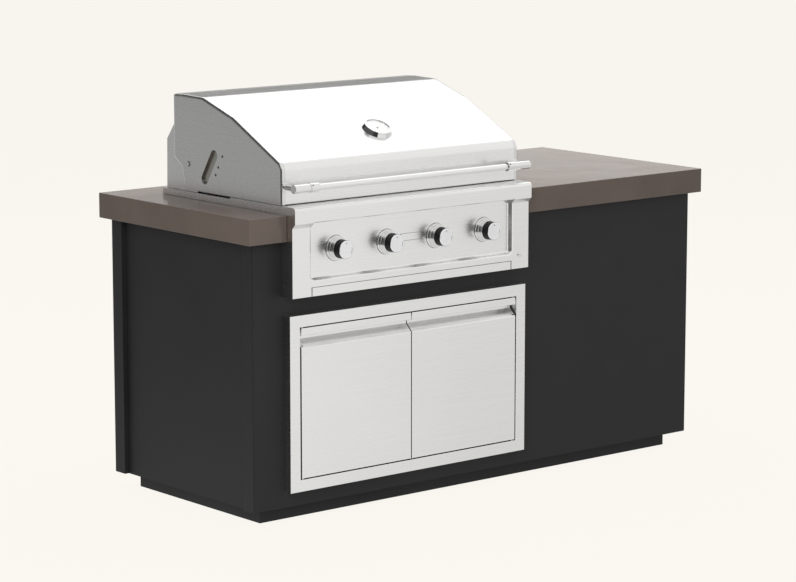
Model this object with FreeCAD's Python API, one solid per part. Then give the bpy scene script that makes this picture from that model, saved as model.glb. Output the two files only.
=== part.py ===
import FreeCAD, Part
import math
import os

# Outdoor kitchen island with a built-in gas grill and a pair of access doors.
# Millimetres, +Z up, the user stands on the -Y side.
# The origin is on the floor, under the middle of the whole object's box.

V = FreeCAD.Vector

# Counter slab
counter_length = 1828.8
counter_depth = 762.0
counter_thick = 76.2
counter_height = 914.4
counter_edge_round = 3.0
counter_edge_bend = 1.8
notch_clear = 1.0
notch_behind = 2.0

# Cabinet body
side_overhang = 30.0
front_overhang = 28.5
rear_overhang = 24.3
skin = 2.0
skin_bend = 2.0
plinth_height = 46.5
plinth_side_setback = 55.2
plinth_front_setback = 45.4
plinth_rear_setback = 52.7
plinth_board = 18.0
side_recess = 14.5
side_return = 20.0
post_size = 50.0
post_wall = 2.5
frame_tube = 25.0
frame_wall = 2.0
rear_skin_setback = 2.7
partition_behind_frame = 26.0
foot_radius = 25.0
foot_pad = 8.0
foot_stem_radius = 5.0
foot_count_along = 4
vent_rows = 6
vent_length = 130.0
vent_height = 7.0
vent_corner = 3.0
vent_pitch = 16.0
vent_edge = 55.0
vent_spread = 0.6
screw_radius = 2.0
screw_clear = 0.1
screw_head_radius = 5.0
screw_head = 2.0
screw_length = 14.0
screw_slot = (6.0, 1.2, 0.8)
screw_inset = 12.0
screws_along = 7

# Access doors and their frame
door_frame_offset = 146.5
door_frame_width = 918.5
door_frame_top_drop = 296.9
door_frame_rise = 92.5
door_frame_side = 37.2
door_frame_rail = 35.4
door_frame_proud = 25.2
door_frame_behind = 36.0
door_frame_edge = 1.2
door_sheet = 1.5
door_bend = 1.0
door_gap_side = 4.5
door_gap_middle = 3.5
door_gap_level = 3.0
door_thick = 30.0
door_end = 3.0
door_liner_depth = 4.0
pull_band = 23.0
pull_slot = 36.0
pull_depth = 24.0
pull_rise = 14.0
pull_hem = 6.0
pull_lip_round = 2.0
hinge_inset = 6.0
hinge_pin_radius = 3.0
hinge_pin_play = 0.05
hinge_pin_depth = 5.0
hinge_head_radius = 4.2
hinge_head = 2.0
catch_start = 20.0
catch_length = 40.0
catch_size = 14.0

# Grill head
grill_offset = 135.4
grill_width = 914.4
steel = 1.5
ledge_reach = 38.3
ledge_rise = 25.4
ledge_drop = 23.0
ledge_chamfer_drop = 36.0
ledge_round = 9.0
ledge_deck = 45.0
panel_reach = 25.0
panel_lap = 8.0
panel_bottom_drop = 239.6
panel_notch_inset = 10.0
stile_width = 69.2
recess_depth = 14.4
recess_bottom_drop = 190.5
recess_corner = 12.0
recess_bend = 6.0
rail_bottom_drop = 213.0
tray_front_thick = 6.1
tray_gap = 1.5
tray_end_gap = 3.0
tray_side = 2.0
tray_lift = 9.0
tray_height = 14.0
tray_rear = 490.0
runner_foot = 14.0
flange_setback = 2.0
flange_width = 23.7
flange_front_rise = 25.4
flange_rear_rise = 20.5
flange_step = 275.8
flange_rear = 617.5
flange_bend = 1.0
firebox_front = 60.0
firebox_rear = 529.0
firebox_drop = 170.0
firebox_shelf = 12.0
drain_width = 420.0
drain_depth = 160.0

# Knobs, valves and burners
knob_pitch = 191.1
knob_count = 4
knob_drop = 108.3
knob_stand = 51.4
knob_radius = 27.5
knob_back_gap = 8.0
knob_back_edge = 1.0
knob_travel = 3.0
knob_rim = 3.5
knob_dish = 0.8
bezel_play = 0.8
bezel_steps = ((37.5, 5.0, 2.5), (33.5, 14.0, 1.5), (30.5, 26.0, 1.2))
stem_radius = 4.0
stem_flat = 2.6
stem_play = 0.05
stem_hole_play = 2.0
stem_tip_behind_face = 12.0
valve_gap = 3.0
valve_size = 24.0
valve_length = 20.0
stem_share = 0.7
manifold_radius = 8.0
inlet_inset = 24.0
inlet_length = 56.0
burner_gap = 2.0
burner_radius = 13.0
burner_wall = 1.2
burner_slots = 14
burner_slot = 1.5
burner_slot_half = 9.0
burner_slot_rise = 5.0
plate_ridge_drop = 30.0
plate_eave_drop = 62.0
plate_half_width = 62.0
grate_count = 3
grate_bars = 12
grate_bar_radius = 4.0
grate_cross = 8.0
grate_thick = 10.0
grate_sink = 3.0
grate_gap = 1.0
rack_rise = 118.0
rack_front = 400.0
rack_rods = 9
rack_rod_radius = 2.5
rack_bar = 6.0
button_radius = 7.0
button_inset = 36.4
button_drop = 198.4
button_stand = 3.5
button_edge = 1.5
button_travel = 2.5
button_collar = 2.0
switch_wall = 2.5
switch_depth = 10.0
switch_floor = 3.0
name_plate_width = 83.4
name_plate_height = 23.8
name_plate_drop = 101.5
name_plate_thick = 1.2
name_plate_corner = 3.0

# Lid
lid_front = 26.5
lid_bottom_rise = 27.0
lid_break_rise = 130.0
lid_brow_depth = 35.0
lid_brow_rise = 147.4
lid_brow_bend = 22.0
lid_slope_depth = 259.6
lid_slope_rise = 261.7
lid_top_depth = 409.6
lid_top_rise = 309.5
lid_top_bend = 40.0
lid_crown = (512.0, 311.7, 80.0)
lid_rear = 558.0
lid_rear_bend = 6.0
lid_back_rise = 249.0
lid_side_foot = ((503.0, 27.0), (517.0, 90.5, 6.0), (558.0, 118.0, 3.0))
lid_rim = 14.0
lid_edge_round = 8.0
lid_seam = 0.3
liner_gap = 12.0
liner_inset = 10.0
pivot_depth = 483.0
pivot_rise = 104.0
pivot_radius = 5.0
pivot_clear = 0.05
pivot_head_radius = 8.0
pivot_head = 3.0
pivot_slot = (12.0, 1.6, 1.2)
pivot_nut = 5.0
spit_top_depth = 342.9
spit_top_rise = 154.7
spit_bottom_depth = 407.8
spit_bottom_rise = 53.5
spit_width = 33.0
spit_collar = 8.0
side_hole_radius = 4.0
side_holes = ((331.0, 108.0), (344.0, 84.0), (310.0, 142.0))
handle_reach = 26.7
handle_rise = 78.5
handle_inset = 2.7
handle_tube_radius = 9.3
handle_tube_inset = 6.0
handle_fit = 0.1
sleeve_radius = 12.8
sleeve_edge = 1.5
collar_radius = 13.8
collar_start = 58.0
collar_length = 32.0
collar_edge = 1.0
set_screw_radius = 2.5
set_screw_start = 6.0
set_screw_tilt = 38.0
standoff_start = 11.3
standoff_radius = 8.0
standoff_flange_radius = 13.0
standoff_flange = 3.0
gauge_base_radius = 48.4
gauge_rim_radius = 42.0
gauge_height = 14.3
gauge_depth = 144.5
gauge_offset = 5.0
gauge_wall = 4.0
gauge_edge = 2.0
gauge_play = 0.05
gauge_probe = 5.0
gauge_probe_length = 50.0
gauge_floor = 5.0
gauge_dial_thick = 1.0
gauge_lens_in = 4.0
gauge_lens_thick = 2.0
needle_pin = 2.0
needle_pin_in = 3.0
needle_hub = 4.0
needle_half_widths = (1.2, 0.3)
needle_short = 8.0
needle_tail = 9.0
needle_thick = 0.8
housing_setback = 8.0
housing_rear = 603.5
housing_shoulder = (2.7, 169.8)
housing_crown = (563.0, 218.8)
housing_front_rise = 205.0
ear_front = 38.0
ear_rise = 36.0
ear_step = 12.0
ear_corners = (3.0, 15.0)

# Seats between pieces that only touch, and the reach within which an edge is on a plane
seat = 0.3
tiny = 0.001

# Worked out from the sizes above
knob_reach = panel_reach - recess_depth + knob_stand
x_left = -counter_length / 2
y_front = -(counter_depth + knob_reach) / 2 + knob_reach
z_top = counter_height
z_under = z_top - counter_thick
z_body = plinth_height
door_frame_height = counter_height - door_frame_top_drop - door_frame_rise
body_left = x_left + side_overhang
body_right = -body_left
body_front = y_front + front_overhang
body_rear = y_front + counter_depth - rear_overhang
wrap_rear = body_front + post_size
post_front = body_rear - post_size
side_face = body_left + side_recess
side_inside = side_face + skin + seat
side_rear = post_front - seat
side_clear_rear = side_rear - skin - skin_bend - seat
frame_left = body_left + skin + skin_bend + seat
grill_left = x_left + grill_offset
grill_right = grill_left + grill_width
grill_middle = (grill_left + grill_right) / 2
flange_left = grill_left + flange_setback
box_left = flange_left + flange_width + seat
box_right = 2 * grill_middle - box_left
notch_rear = y_front + flange_rear + notch_behind


def depth(value):
    return y_front + value


def rise(value):
    return z_top + value


def box(x0, x1, y0, y1, z0, z1):
    return Part.makeBox(x1 - x0, y1 - y0, z1 - z0, V(x0, y0, z0))


def rod(radius, start, end):
    run = V(*end) - V(*start)
    return Part.makeCylinder(radius, run.Length, V(*start), run)


def joined(shapes):
    first = shapes[0]
    if len(shapes) > 1:
        first = first.multiFuse(shapes[1:])
    return first.removeSplitter()


def without(shape, tools):
    return shape.cut(Part.makeCompound(tools)) if tools else shape


def outline(points):
    """A closed wire through (u, v) or (u, v, corner radius) points, in the XY plane."""
    count = len(points)
    corners = []
    for i, point in enumerate(points):
        here = V(point[0], point[1], 0)
        radius = point[2] if len(point) > 2 else 0.0
        if radius == 0.0:
            corners.append((here, None, here))
            continue
        back = V(points[i - 1][0], points[i - 1][1], 0) - here
        ahead = V(points[(i + 1) % count][0], points[(i + 1) % count][1], 0) - here
        back.normalize()
        ahead.normalize()
        half = back.getAngle(ahead) / 2
        reach = radius / math.tan(half)
        middle = back + ahead
        middle.normalize()
        centre = here + middle * (radius / math.sin(half))
        corners.append((here + back * reach, centre - middle * radius, here + ahead * reach))
    edges = []
    for i, (enter, bulge, leave) in enumerate(corners):
        if bulge is not None:
            edges.append(Part.Arc(enter, bulge, leave).toShape())
        following = corners[(i + 1) % count][0]
        if (following - leave).Length > 1e-6:
            edges.append(Part.LineSegment(leave, following).toShape())
    return Part.Wire(edges)


def prism(points, axis, low, high):
    """An outline swept from low to high: axis x takes (y, z), y takes (x, z), z takes (x, y)."""
    face = Part.Face(outline(points))
    if axis == "x":
        face.rotate(V(0, 0, 0), V(1, 1, 1), 120)
        face.translate(V(low, 0, 0))
        return face.extrude(V(high - low, 0, 0))
    if axis == "y":
        face.rotate(V(0, 0, 0), V(1, 0, 0), 90)
        face.translate(V(0, low, 0))
        return face.extrude(V(0, high - low, 0))
    face.translate(V(0, 0, low))
    return face.extrude(V(0, 0, high - low))


def folded(points, thick, bend):
    """The closed outline of a folded sheet, which lies to the left of its run of points."""
    def left_of(a, b):
        run = V(b[0] - a[0], b[1] - a[1], 0)
        run.normalize()
        return V(-run.y, run.x, 0)

    outer = []
    inner = []
    last = len(points) - 1
    for i, point in enumerate(points):
        here = V(point[0], point[1], 0)
        if i in (0, last):
            normal = left_of(points[0], points[1]) if i == 0 else left_of(points[-2], points[-1])
            outer.append((here.x, here.y))
            inner.append((here.x + normal.x * thick, here.y + normal.y * thick))
            continue
        before = left_of(points[i - 1], point)
        after = left_of(point, points[i + 1])
        mitre = before + after
        mitre.normalize()
        mitre = mitre * (thick / mitre.dot(before))
        turns_left = before.x * after.y - before.y * after.x > 0
        round_here = point[2] if len(point) > 2 else bend
        outer.append((here.x, here.y, round_here + thick if turns_left else round_here))
        inner.append((here.x + mitre.x, here.y + mitre.y, round_here if turns_left else round_here + thick))
    return outer + inner[::-1]


def mirrored(shape):
    return shape.mirror(V(0, 0, 0), V(1, 0, 0))


def across_grill(shape):
    return shape.mirror(V(grill_middle, 0, 0), V(1, 0, 0))


def countertop():
    left = grill_left - notch_clear
    right = grill_right + notch_clear
    rear = y_front + counter_depth
    r = counter_edge_round
    plan = [(x_left, y_front, r), (left, y_front), (left, notch_rear), (right, notch_rear)]
    plan += [(right, y_front), (-x_left, y_front, r), (-x_left, rear, r), (x_left, rear, r)]
    slab = prism(plan, "z", z_under, z_top)
    level = [e for e in slab.Edges if e.BoundBox.ZMin > z_top - tiny or e.BoundBox.ZMax < z_under + tiny]
    outside = [e for e in level if e.BoundBox.YMax < y_front + r + tiny or e.BoundBox.YMin > rear - r - tiny
               or e.BoundBox.XMax < x_left + r + tiny or e.BoundBox.XMin > -x_left - r - tiny]
    return slab.makeFillet(counter_edge_bend, outside)


def left_side_panel():
    run = [(side_face + side_return, side_rear), (side_face, side_rear), (side_face, wrap_rear + seat)]
    return prism(folded(run, skin, skin_bend), "z", z_body, z_under)


def door_opening():
    left = x_left + door_frame_offset + door_frame_side
    right = x_left + door_frame_offset + door_frame_width - door_frame_side
    top = z_top - door_frame_top_drop - door_frame_rail
    bottom = z_top - door_frame_top_drop - door_frame_height + door_frame_rail
    return left, right, bottom, top


def front_panel():
    """The front sheet, which wraps both front corners and turns in to meet the side panels."""
    left, right, bottom, top = door_opening()
    lap = door_sheet + seat
    inner = side_face + skin
    run = [(inner, wrap_rear), (body_left, wrap_rear), (body_left, body_front)]
    run += [(-x, y) for x, y in run[::-1]]
    sheet = prism(folded(run, skin, skin_bend), "z", z_body, z_under)
    doors = box(left - lap, right + lap, body_front, body_front + skin, bottom - lap, top + lap)
    notch_low = rise(-panel_bottom_drop) + 2 * skin
    notch = box(grill_left + panel_notch_inset, grill_right - panel_notch_inset,
                body_front, body_front + skin, notch_low, z_under)
    return without(sheet, [doors, notch])


def rear_plane():
    return body_rear - rear_skin_setback


def screw_places():
    low = z_body + screw_inset
    high = z_under - screw_inset
    left = body_left + post_size + seat + screw_inset
    step = (body_right - post_size - seat - screw_inset - left) / (screws_along - 1)
    return [(left + i * step, z) for z in (low, high) for i in range(screws_along)]


def rear_panel():
    left = body_left + post_size + seat
    face = rear_plane()
    sheet = box(left, -left, face - skin, face, z_body, z_under)
    cuts = screw_holes(face - skin, face)
    middle = body_left + (body_right - body_left) / 4
    for row in range(vent_rows):
        for z in (z_body + vent_edge + row * vent_pitch, z_under - vent_edge - row * vent_pitch):
            for side in (-vent_spread, vent_spread):
                slot = vent(middle + side * vent_length, z)
                cuts += [slot, mirrored(slot)]
    return without(sheet, cuts)


def vent(x, z):
    half = vent_length / 2
    tall = vent_height / 2
    corners = [(x + i * half, z + k * tall, vent_corner) for i, k in ((-1, -1), (1, -1), (1, 1), (-1, 1))]
    return prism(corners, "y", rear_plane(), rear_plane() - skin)


def screw_holes(near, far):
    return [rod(screw_radius + screw_clear, (x, near, z), (x, far, z)) for x, z in screw_places()]


def panel_screws():
    face = rear_plane()
    crown = face + screw_head
    long, wide, deep = screw_slot
    screws = []
    for x, z in screw_places():
        head = rod(screw_head_radius, (x, face, z), (x, crown, z))
        shank = rod(screw_radius, (x, face - screw_length, z), (x, face, z))
        slot = box(x - long / 2, x + long / 2, crown - deep, crown, z - wide / 2, z + wide / 2)
        screws.append(joined([head, shank]).cut(slot))
    return Part.makeCompound(screws)


def square_tube(x0, x1, y0, y1, z0, z1, wall, along):
    outer = box(x0, x1, y0, y1, z0, z1)
    grow = {"x": (0, wall, wall), "y": (wall, 0, wall), "z": (wall, wall, 0)}[along]
    inner = box(x0 + grow[0], x1 - grow[0], y0 + grow[1], y1 - grow[1], z0 + grow[2], z1 - grow[2])
    return outer.cut(inner)


def rear_posts():
    post = square_tube(body_left, body_left + post_size, post_front, body_rear, z_body, z_under,
                       post_wall, "z")
    return Part.makeCompound([post, mirrored(post)])


def rail_after():
    return grill_right + notch_clear + frame_tube


def partition_x():
    """The wall beside the storage bay, past the door frame and past the tube beside the grill."""
    return max(x_left + door_frame_offset + door_frame_width + partition_behind_frame, rail_after())


def rail_rear():
    return rear_plane() - skin


def frame_posts():
    low = z_body + skin
    high = z_under - frame_tube
    front = body_front + skin + seat
    wall = partition_x() + skin
    places = [(frame_left, front), (-frame_left - frame_tube, front), (wall, front)]
    places += [(wall, rail_rear() - frame_tube)]
    posts = [square_tube(x, x + frame_tube, y, y + frame_tube, low, high, frame_wall, "z") for x, y in places]
    return Part.makeCompound([without(post, rail_screw_holes()) for post in posts])


def rail_screw_holes():
    return screw_holes(rail_rear() - screw_length - screw_clear, rail_rear())


def rail(x0, x1, y0, y1, low, along):
    return square_tube(x0, x1, y0, y1, low, low + frame_tube, frame_wall, along)


def top_rails():
    tube = frame_tube
    low = z_under - tube
    front = body_front + skin + seat
    rear = rail_rear() - tube
    stop = grill_left - notch_clear - tube
    edge = body_left + post_size + seat
    side = rail(side_inside, side_inside + tube, front + tube, side_clear_rear, low, "y")
    rails = [rail(frame_left, stop, front, front + tube, low, "x")]
    rails.append(rail(rail_after(), -frame_left, front, front + tube, low, "x"))
    rails += [side, mirrored(side), rail(edge, -edge, rear, rear + tube, low, "x")]
    wall = partition_x() + skin
    passage = box(wall - seat, wall + tube + seat, rear, rear + tube, z_body, z_under)
    rails += rail(edge, -edge, rear, rear + tube, z_body + skin, "x").cut(passage).Solids
    return Part.makeCompound([without(tube_piece, rail_screw_holes()) for tube_piece in rails])


def grill_supports():
    left = grill_left - notch_clear - frame_tube
    right = box_left - seat
    front = body_front + skin + seat
    rear = rail_rear() - frame_tube
    support = rail(left, right, front, rear, z_under - frame_tube, "y")
    return Part.makeCompound([support, across_grill(support)])


def cabinet_floor():
    front = body_front + skin + seat
    inner = body_left + post_size + seat
    wide = box(side_inside, -side_inside, front, side_clear_rear, z_body, z_body + skin)
    narrow = box(inner, -inner, side_clear_rear, rail_rear(), z_body, z_body + skin)
    return joined([wide, narrow])


def partition():
    x = partition_x()
    front = body_front + skin + seat
    rear = rail_rear() - frame_tube - seat
    return box(x, x + skin, front, rear, z_body + skin, z_under - frame_tube - seat)


def plinth():
    left = body_left + plinth_side_setback
    front = body_front + plinth_front_setback
    rear = body_rear - plinth_rear_setback
    inner_front = front + plinth_board
    inner_rear = rear - plinth_board
    boards = [box(left, -left, front, inner_front, 0, z_body), box(left, -left, inner_rear, rear, 0, z_body)]
    end = box(left, left + plinth_board, inner_front, inner_rear, 0, z_body)
    return Part.makeCompound(boards + [end, mirrored(end)])


def leveling_feet():
    left = body_left + plinth_side_setback + plinth_board + 2 * foot_radius
    front = body_front + plinth_front_setback + plinth_board + 2 * foot_radius
    rear = body_rear - plinth_rear_setback - plinth_board - 2 * foot_radius
    feet = []
    for i in range(foot_count_along):
        x = left - 2 * left * i / (foot_count_along - 1)
        for y in (front, rear):
            pad = rod(foot_radius, (x, y, 0), (x, y, foot_pad))
            stem = rod(foot_stem_radius, (x, y, foot_pad), (x, y, z_body))
            feet.append(joined([pad, stem]))
    return Part.makeCompound(feet)


def door_frame():
    x0 = x_left + door_frame_offset
    x1 = x0 + door_frame_width
    z1 = rise(-door_frame_top_drop)
    z0 = z1 - door_frame_height
    left, right, bottom, top = door_opening()
    face = depth(front_overhang - door_frame_proud)
    back = face + door_frame_proud + door_frame_behind
    t = door_sheet
    ring = box(x0, x1, face, face + t, z0, z1)
    rim = box(x0, x1, face, body_front, z0, z1).cut(box(x0 + t, x1 - t, face, body_front, z0 + t, z1 - t))
    jamb = box(left - t, right + t, face, back, bottom - t, top + t)
    frame = joined([ring, rim, jamb])
    frame = frame.cut(box(left, right, face, back, bottom, top))
    border = [e for e in frame.Edges if e.BoundBox.YMax < face + tiny]
    frame = frame.makeFillet(door_frame_edge, border)
    holes = [rod(hinge_pin_radius + seat / 2, (x, y, bottom - t), (x, y, top + t)) for x, y in hinge_places()]
    return without(frame, holes)


def door_width():
    left, right, bottom, top = door_opening()
    return (right - left - 2 * door_gap_side - door_gap_middle) / 2


def hinge_places():
    left, right, bottom, top = door_opening()
    inset = door_gap_side + hinge_inset
    y = depth(front_overhang - door_frame_proud + hinge_inset)
    return [(left + inset, y), (right - inset, y)]


def door_hinge_pins():
    left, right, bottom, top = door_opening()
    pins = []
    for x, y in hinge_places():
        for start, way in ((top, 1), (bottom, -1)):
            outer = start + way * door_sheet
            inner = start - way * (door_gap_level + hinge_pin_depth)
            shaft = rod(hinge_pin_radius, (x, y, inner), (x, y, outer))
            head = rod(hinge_head_radius, (x, y, outer), (x, y, outer + way * hinge_head))
            pins.append(joined([shaft, head]))
    return Part.makeCompound(pins)


def door_starts():
    left, right, bottom, top = door_opening()
    return left + door_gap_side, right - door_gap_side - door_width()


def door_skin(side):
    """A door's front: one folded sheet with its finger pocket, and end plates cut to its outline."""
    left, right, bottom, top = door_opening()
    x0 = door_starts()[side]
    x1 = x0 + door_width()
    z0 = bottom + door_gap_level
    z1 = top - door_gap_level
    face = depth(front_overhang - door_frame_proud)
    back = face + door_thick
    t = door_sheet
    band = z1 - pull_band
    lip = band - pull_slot
    run = [(back, z0), (face, z0), (face, lip, pull_lip_round)]
    run += [(face + pull_depth, lip + pull_depth), (face + pull_depth, band + pull_rise)]
    run += [(face + pull_hem, band + pull_rise), (face + pull_hem, band), (face, band), (face, z1), (back, z1)]
    sheet = prism(folded(run[::-1], t, door_bend), "x", x0, x1)
    ends = [prism(run, "x", x, x + door_end) for x in (x0, x1 - door_end)]
    x, y = hinge_places()[side]
    return joined([sheet] + ends).cut(rod(hinge_pin_radius + hinge_pin_play, (x, y, bottom), (x, y, top)))


def door_liner():
    left, right, bottom, top = door_opening()
    x0 = left + door_gap_side + door_end + seat
    x1 = left + door_gap_side + door_width() - door_end - seat
    z0 = bottom + door_gap_level + door_sheet + seat
    z1 = top - door_gap_level - door_sheet - seat
    back = depth(front_overhang - door_frame_proud) + door_thick
    front = back - door_liner_depth
    t = door_sheet
    return box(x0, x1, front, back, z0, z1).cut(box(x0 + t, x1 - t, front, back - t, z0 + t, z1 - t))


def across_doors(shape):
    left, right, bottom, top = door_opening()
    return shape.mirror(V((left + right) / 2, 0, 0), V(1, 0, 0))


def door_catches():
    left, right, bottom, top = door_opening()
    start = (left + right) / 2 + catch_start
    y = depth(front_overhang - door_frame_proud) + door_thick + seat
    body = box(start, start + catch_length, y, y + catch_size, top - catch_size, top)
    return Part.makeCompound([body, across_doors(body)])


def turned(profile, place, axis):
    """A profile of (radius, height) points spun about the axis that leaves from place."""
    face = Part.Face(outline(profile))
    face.rotate(V(0, 0, 0), V(1, 0, 0), 90)
    solid = face.revolve(V(0, 0, 0), V(0, 0, 1), 360)
    turn = FreeCAD.Rotation(V(0, 0, 1), V(*axis))
    solid.rotate(V(0, 0, 0), turn.Axis, math.degrees(turn.Angle))
    solid.translate(V(*place))
    return solid


def stile_left():
    return grill_left + stile_width


def stile_right():
    return grill_right - stile_width


def recess_face():
    return depth(-panel_reach + recess_depth)


def front_ledge():
    """The rounded ledge: it chamfers back to the stiles, and turns in level over the recess between them."""
    nose = depth(-ledge_reach)
    face = depth(-panel_reach)
    top = rise(ledge_rise)
    fold = rise(-ledge_drop)
    foot = rise(-ledge_chamfer_drop)
    stop = depth(front_overhang) - seat
    behind = recess_face() - seat
    start = [(depth(ledge_deck), top), (nose, top, ledge_round), (nose, fold)]
    over_stiles = prism(folded(start + [(face, foot)], steel, skin_bend), "x", grill_left, stile_left())
    run = start + [(behind, fold)]
    between = prism(folded(run, steel, skin_bend), "x", stile_left() - steel, grill_middle)
    side = [(stop, top), (nose, top, ledge_round + steel), (nose, fold, skin_bend + steel), (face, foot),
            (stop, foot)]
    end = prism(side, "x", grill_left, grill_left + steel)
    gusset = prism([(nose + skin_bend, fold), (face, foot), (behind, foot), (behind, fold)], "x",
                   stile_left() - steel, stile_left())
    half = joined([over_stiles, between, end, gusset])
    corner = box(grill_left, box_left, stop, depth(ledge_deck), rise(0), top)
    half = half.cut(corner)
    return joined([half, across_grill(half)])


def knob_places():
    first = grill_middle - knob_pitch * (knob_count - 1) / 2
    return [first + i * knob_pitch for i in range(knob_count)]


def recess_back():
    return recess_face() + steel


def stile_back():
    return depth(-panel_reach) + steel


def button_place():
    return grill_right - button_inset, rise(-button_drop)


def panel_form(shrink):
    """The control panel's front form as a solid; shrunk by the sheet it is the hollow behind the sheet."""
    front = depth(-panel_reach) + shrink
    back = depth(front_overhang) - seat
    floor = recess_face() + shrink
    top = rise(-ledge_chamfer_drop)
    low = rise(-panel_bottom_drop)
    left = stile_left() - shrink
    right = stile_right() + shrink
    r = recess_corner + shrink
    mouth = [(left, rise(-recess_bottom_drop) - shrink, r), (right, rise(-recess_bottom_drop) - shrink, r),
             (right, top), (left, top)]
    pocket = prism(mouth, "y", front, floor)
    bed = [e for e in pocket.Edges if e.BoundBox.YMin > floor - tiny and e.BoundBox.ZMin < top - tiny]
    pocket = pocket.makeFillet(recess_bend + shrink, bed)
    block = box(grill_left + shrink, grill_right - shrink, front, back, low + shrink, top)
    under = box(left, right, front, back, low, rise(-rail_bottom_drop) + shrink)
    form = without(block, [pocket, under])
    rim = [e for e in form.Edges if e.BoundBox.YMax < front + tiny and e.BoundBox.XMin > left - tiny
           and e.BoundBox.XMax < right + tiny and e.BoundBox.ZMin > rise(-rail_bottom_drop) + 2 * steel
           and e.BoundBox.ZMin < top - tiny]
    return form.makeFillet(recess_bend - shrink, rim)


def control_panel():
    """One stamped sheet: two stiles, the recess that the knobs stand in, and the rail under it."""
    sheet = panel_form(0.0).cut(panel_form(steel))
    lap = box(stile_left(), stile_right(), recess_face(), recess_back(),
              rise(-ledge_chamfer_drop), rise(-ledge_drop) + panel_lap)
    z = rise(-knob_drop)
    hole = stem_radius + stem_hole_play
    holes = [rod(hole, (x, recess_face(), z), (x, recess_back(), z)) for x in knob_places()]
    x, z = button_place()
    holes.append(rod(button_radius + stem_play, (x, depth(-panel_reach), z), (x, stile_back(), z)))
    return without(joined([sheet, lap]), holes)


def name_plate():
    half = name_plate_width / 2
    tall = name_plate_height / 2
    z = rise(-name_plate_drop)
    corners = [(grill_middle + i * half, z + k * tall, name_plate_corner)
               for i, k in ((-1, -1), (1, -1), (1, 1), (-1, 1))]
    return prism(corners, "y", recess_face() - name_plate_thick, recess_face())


def knob_bezels():
    bore = knob_radius + bezel_play
    profile = [(bore, 0)]
    foot = 0
    for radius, height, edge in bezel_steps:
        profile += [(radius, foot), (radius, height, edge)]
        foot = height
    profile += [(bore, foot)]
    rings = [turned(profile, (x, recess_face(), rise(-knob_drop)), (0, -1, 0)) for x in knob_places()]
    return Part.makeCompound(rings)


def keyed_rod(x, radius, flat, near, far):
    z = rise(-knob_drop)
    return rod(radius, (x, near, z), (x, far, z)).cut(box(x - radius, x + radius, near, far,
                                                          z + flat, z + radius))


def stem_tip():
    return recess_face() - knob_stand + stem_tip_behind_face


def valve_front_face():
    return recess_back() + valve_gap


def stem_end():
    return valve_front_face() + valve_length * stem_share


def valve_stem(x):
    z = rise(-knob_drop)
    keyed = keyed_rod(x, stem_radius, stem_flat, stem_tip(), recess_face())
    plain = rod(stem_radius, (x, recess_face(), z), (x, stem_end(), z))
    return joined([keyed, plain])


def knob(x):
    back = knob_back_gap
    face = knob_stand
    rim = knob_radius - 2 * knob_rim
    profile = [(0, back), (knob_radius - knob_back_edge, back), (knob_radius, back + knob_back_edge)]
    profile += [(knob_radius, face, knob_rim), (rim, face), (rim - knob_dish, face - knob_dish)]
    profile += [(0, face - knob_dish)]
    body = turned(profile, (x, recess_face(), rise(-knob_drop)), (0, -1, 0))
    bore = keyed_rod(x, stem_radius + stem_play, stem_flat + stem_play,
                     stem_tip() - knob_travel - seat, recess_face())
    return body.cut(bore)


def valve_bodies():
    half = valve_size / 2
    z = rise(-knob_drop)
    near = valve_front_face()
    bodies = []
    for x in knob_places():
        block = box(x - half, x + half, near, near + valve_length, z - half, z + half)
        bore = rod(stem_radius + stem_play, (x, near, z), (x, stem_end() + seat, z))
        bodies.append(block.cut(bore))
    return Part.makeCompound(bodies)


def manifold_y():
    return valve_front_face() + valve_length + manifold_radius


def inlet_x():
    return grill_right - panel_notch_inset - inlet_inset


def gas_manifold():
    y = manifold_y()
    z = rise(-knob_drop)
    left = grill_left + panel_notch_inset + seat
    pipe = rod(manifold_radius, (left, y, z), (2 * grill_middle - left, y, z))
    inlet = rod(manifold_radius, (inlet_x(), y, z - inlet_length), (inlet_x(), y, z))
    return joined([pipe, inlet])


def burners():
    z = rise(-knob_drop)
    y0 = manifold_y() + manifold_radius + burner_gap
    y1 = depth(firebox_rear) - steel - seat
    step = (y1 - depth(firebox_front)) / (burner_slots + 1)
    starts = [depth(firebox_front) + step * (i + 1) for i in range(burner_slots)]
    tubes = []
    for x in knob_places():
        tube = rod(burner_radius, (x, y0, z), (x, y1, z))
        bore = rod(burner_radius - burner_wall, (x, y0, z), (x, y1 - burner_wall, z))
        slots = [box(x - burner_slot_half, x + burner_slot_half, y, y + burner_slot,
                     z + burner_slot_rise, z + burner_radius) for y in starts]
        tubes.append(without(tube, [bore] + slots))
    return Part.makeCompound(tubes)


def heat_plates():
    y0 = depth(firebox_front) + steel + seat
    y1 = depth(firebox_rear) - steel - seat
    plates = []
    for x in knob_places():
        run = [(x + plate_half_width, rise(-plate_eave_drop)), (x, rise(-plate_ridge_drop))]
        run += [(x - plate_half_width, rise(-plate_eave_drop))]
        plates.append(prism(folded(run, steel, skin_bend), "y", y0, y1))
    return Part.makeCompound(plates)


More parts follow.
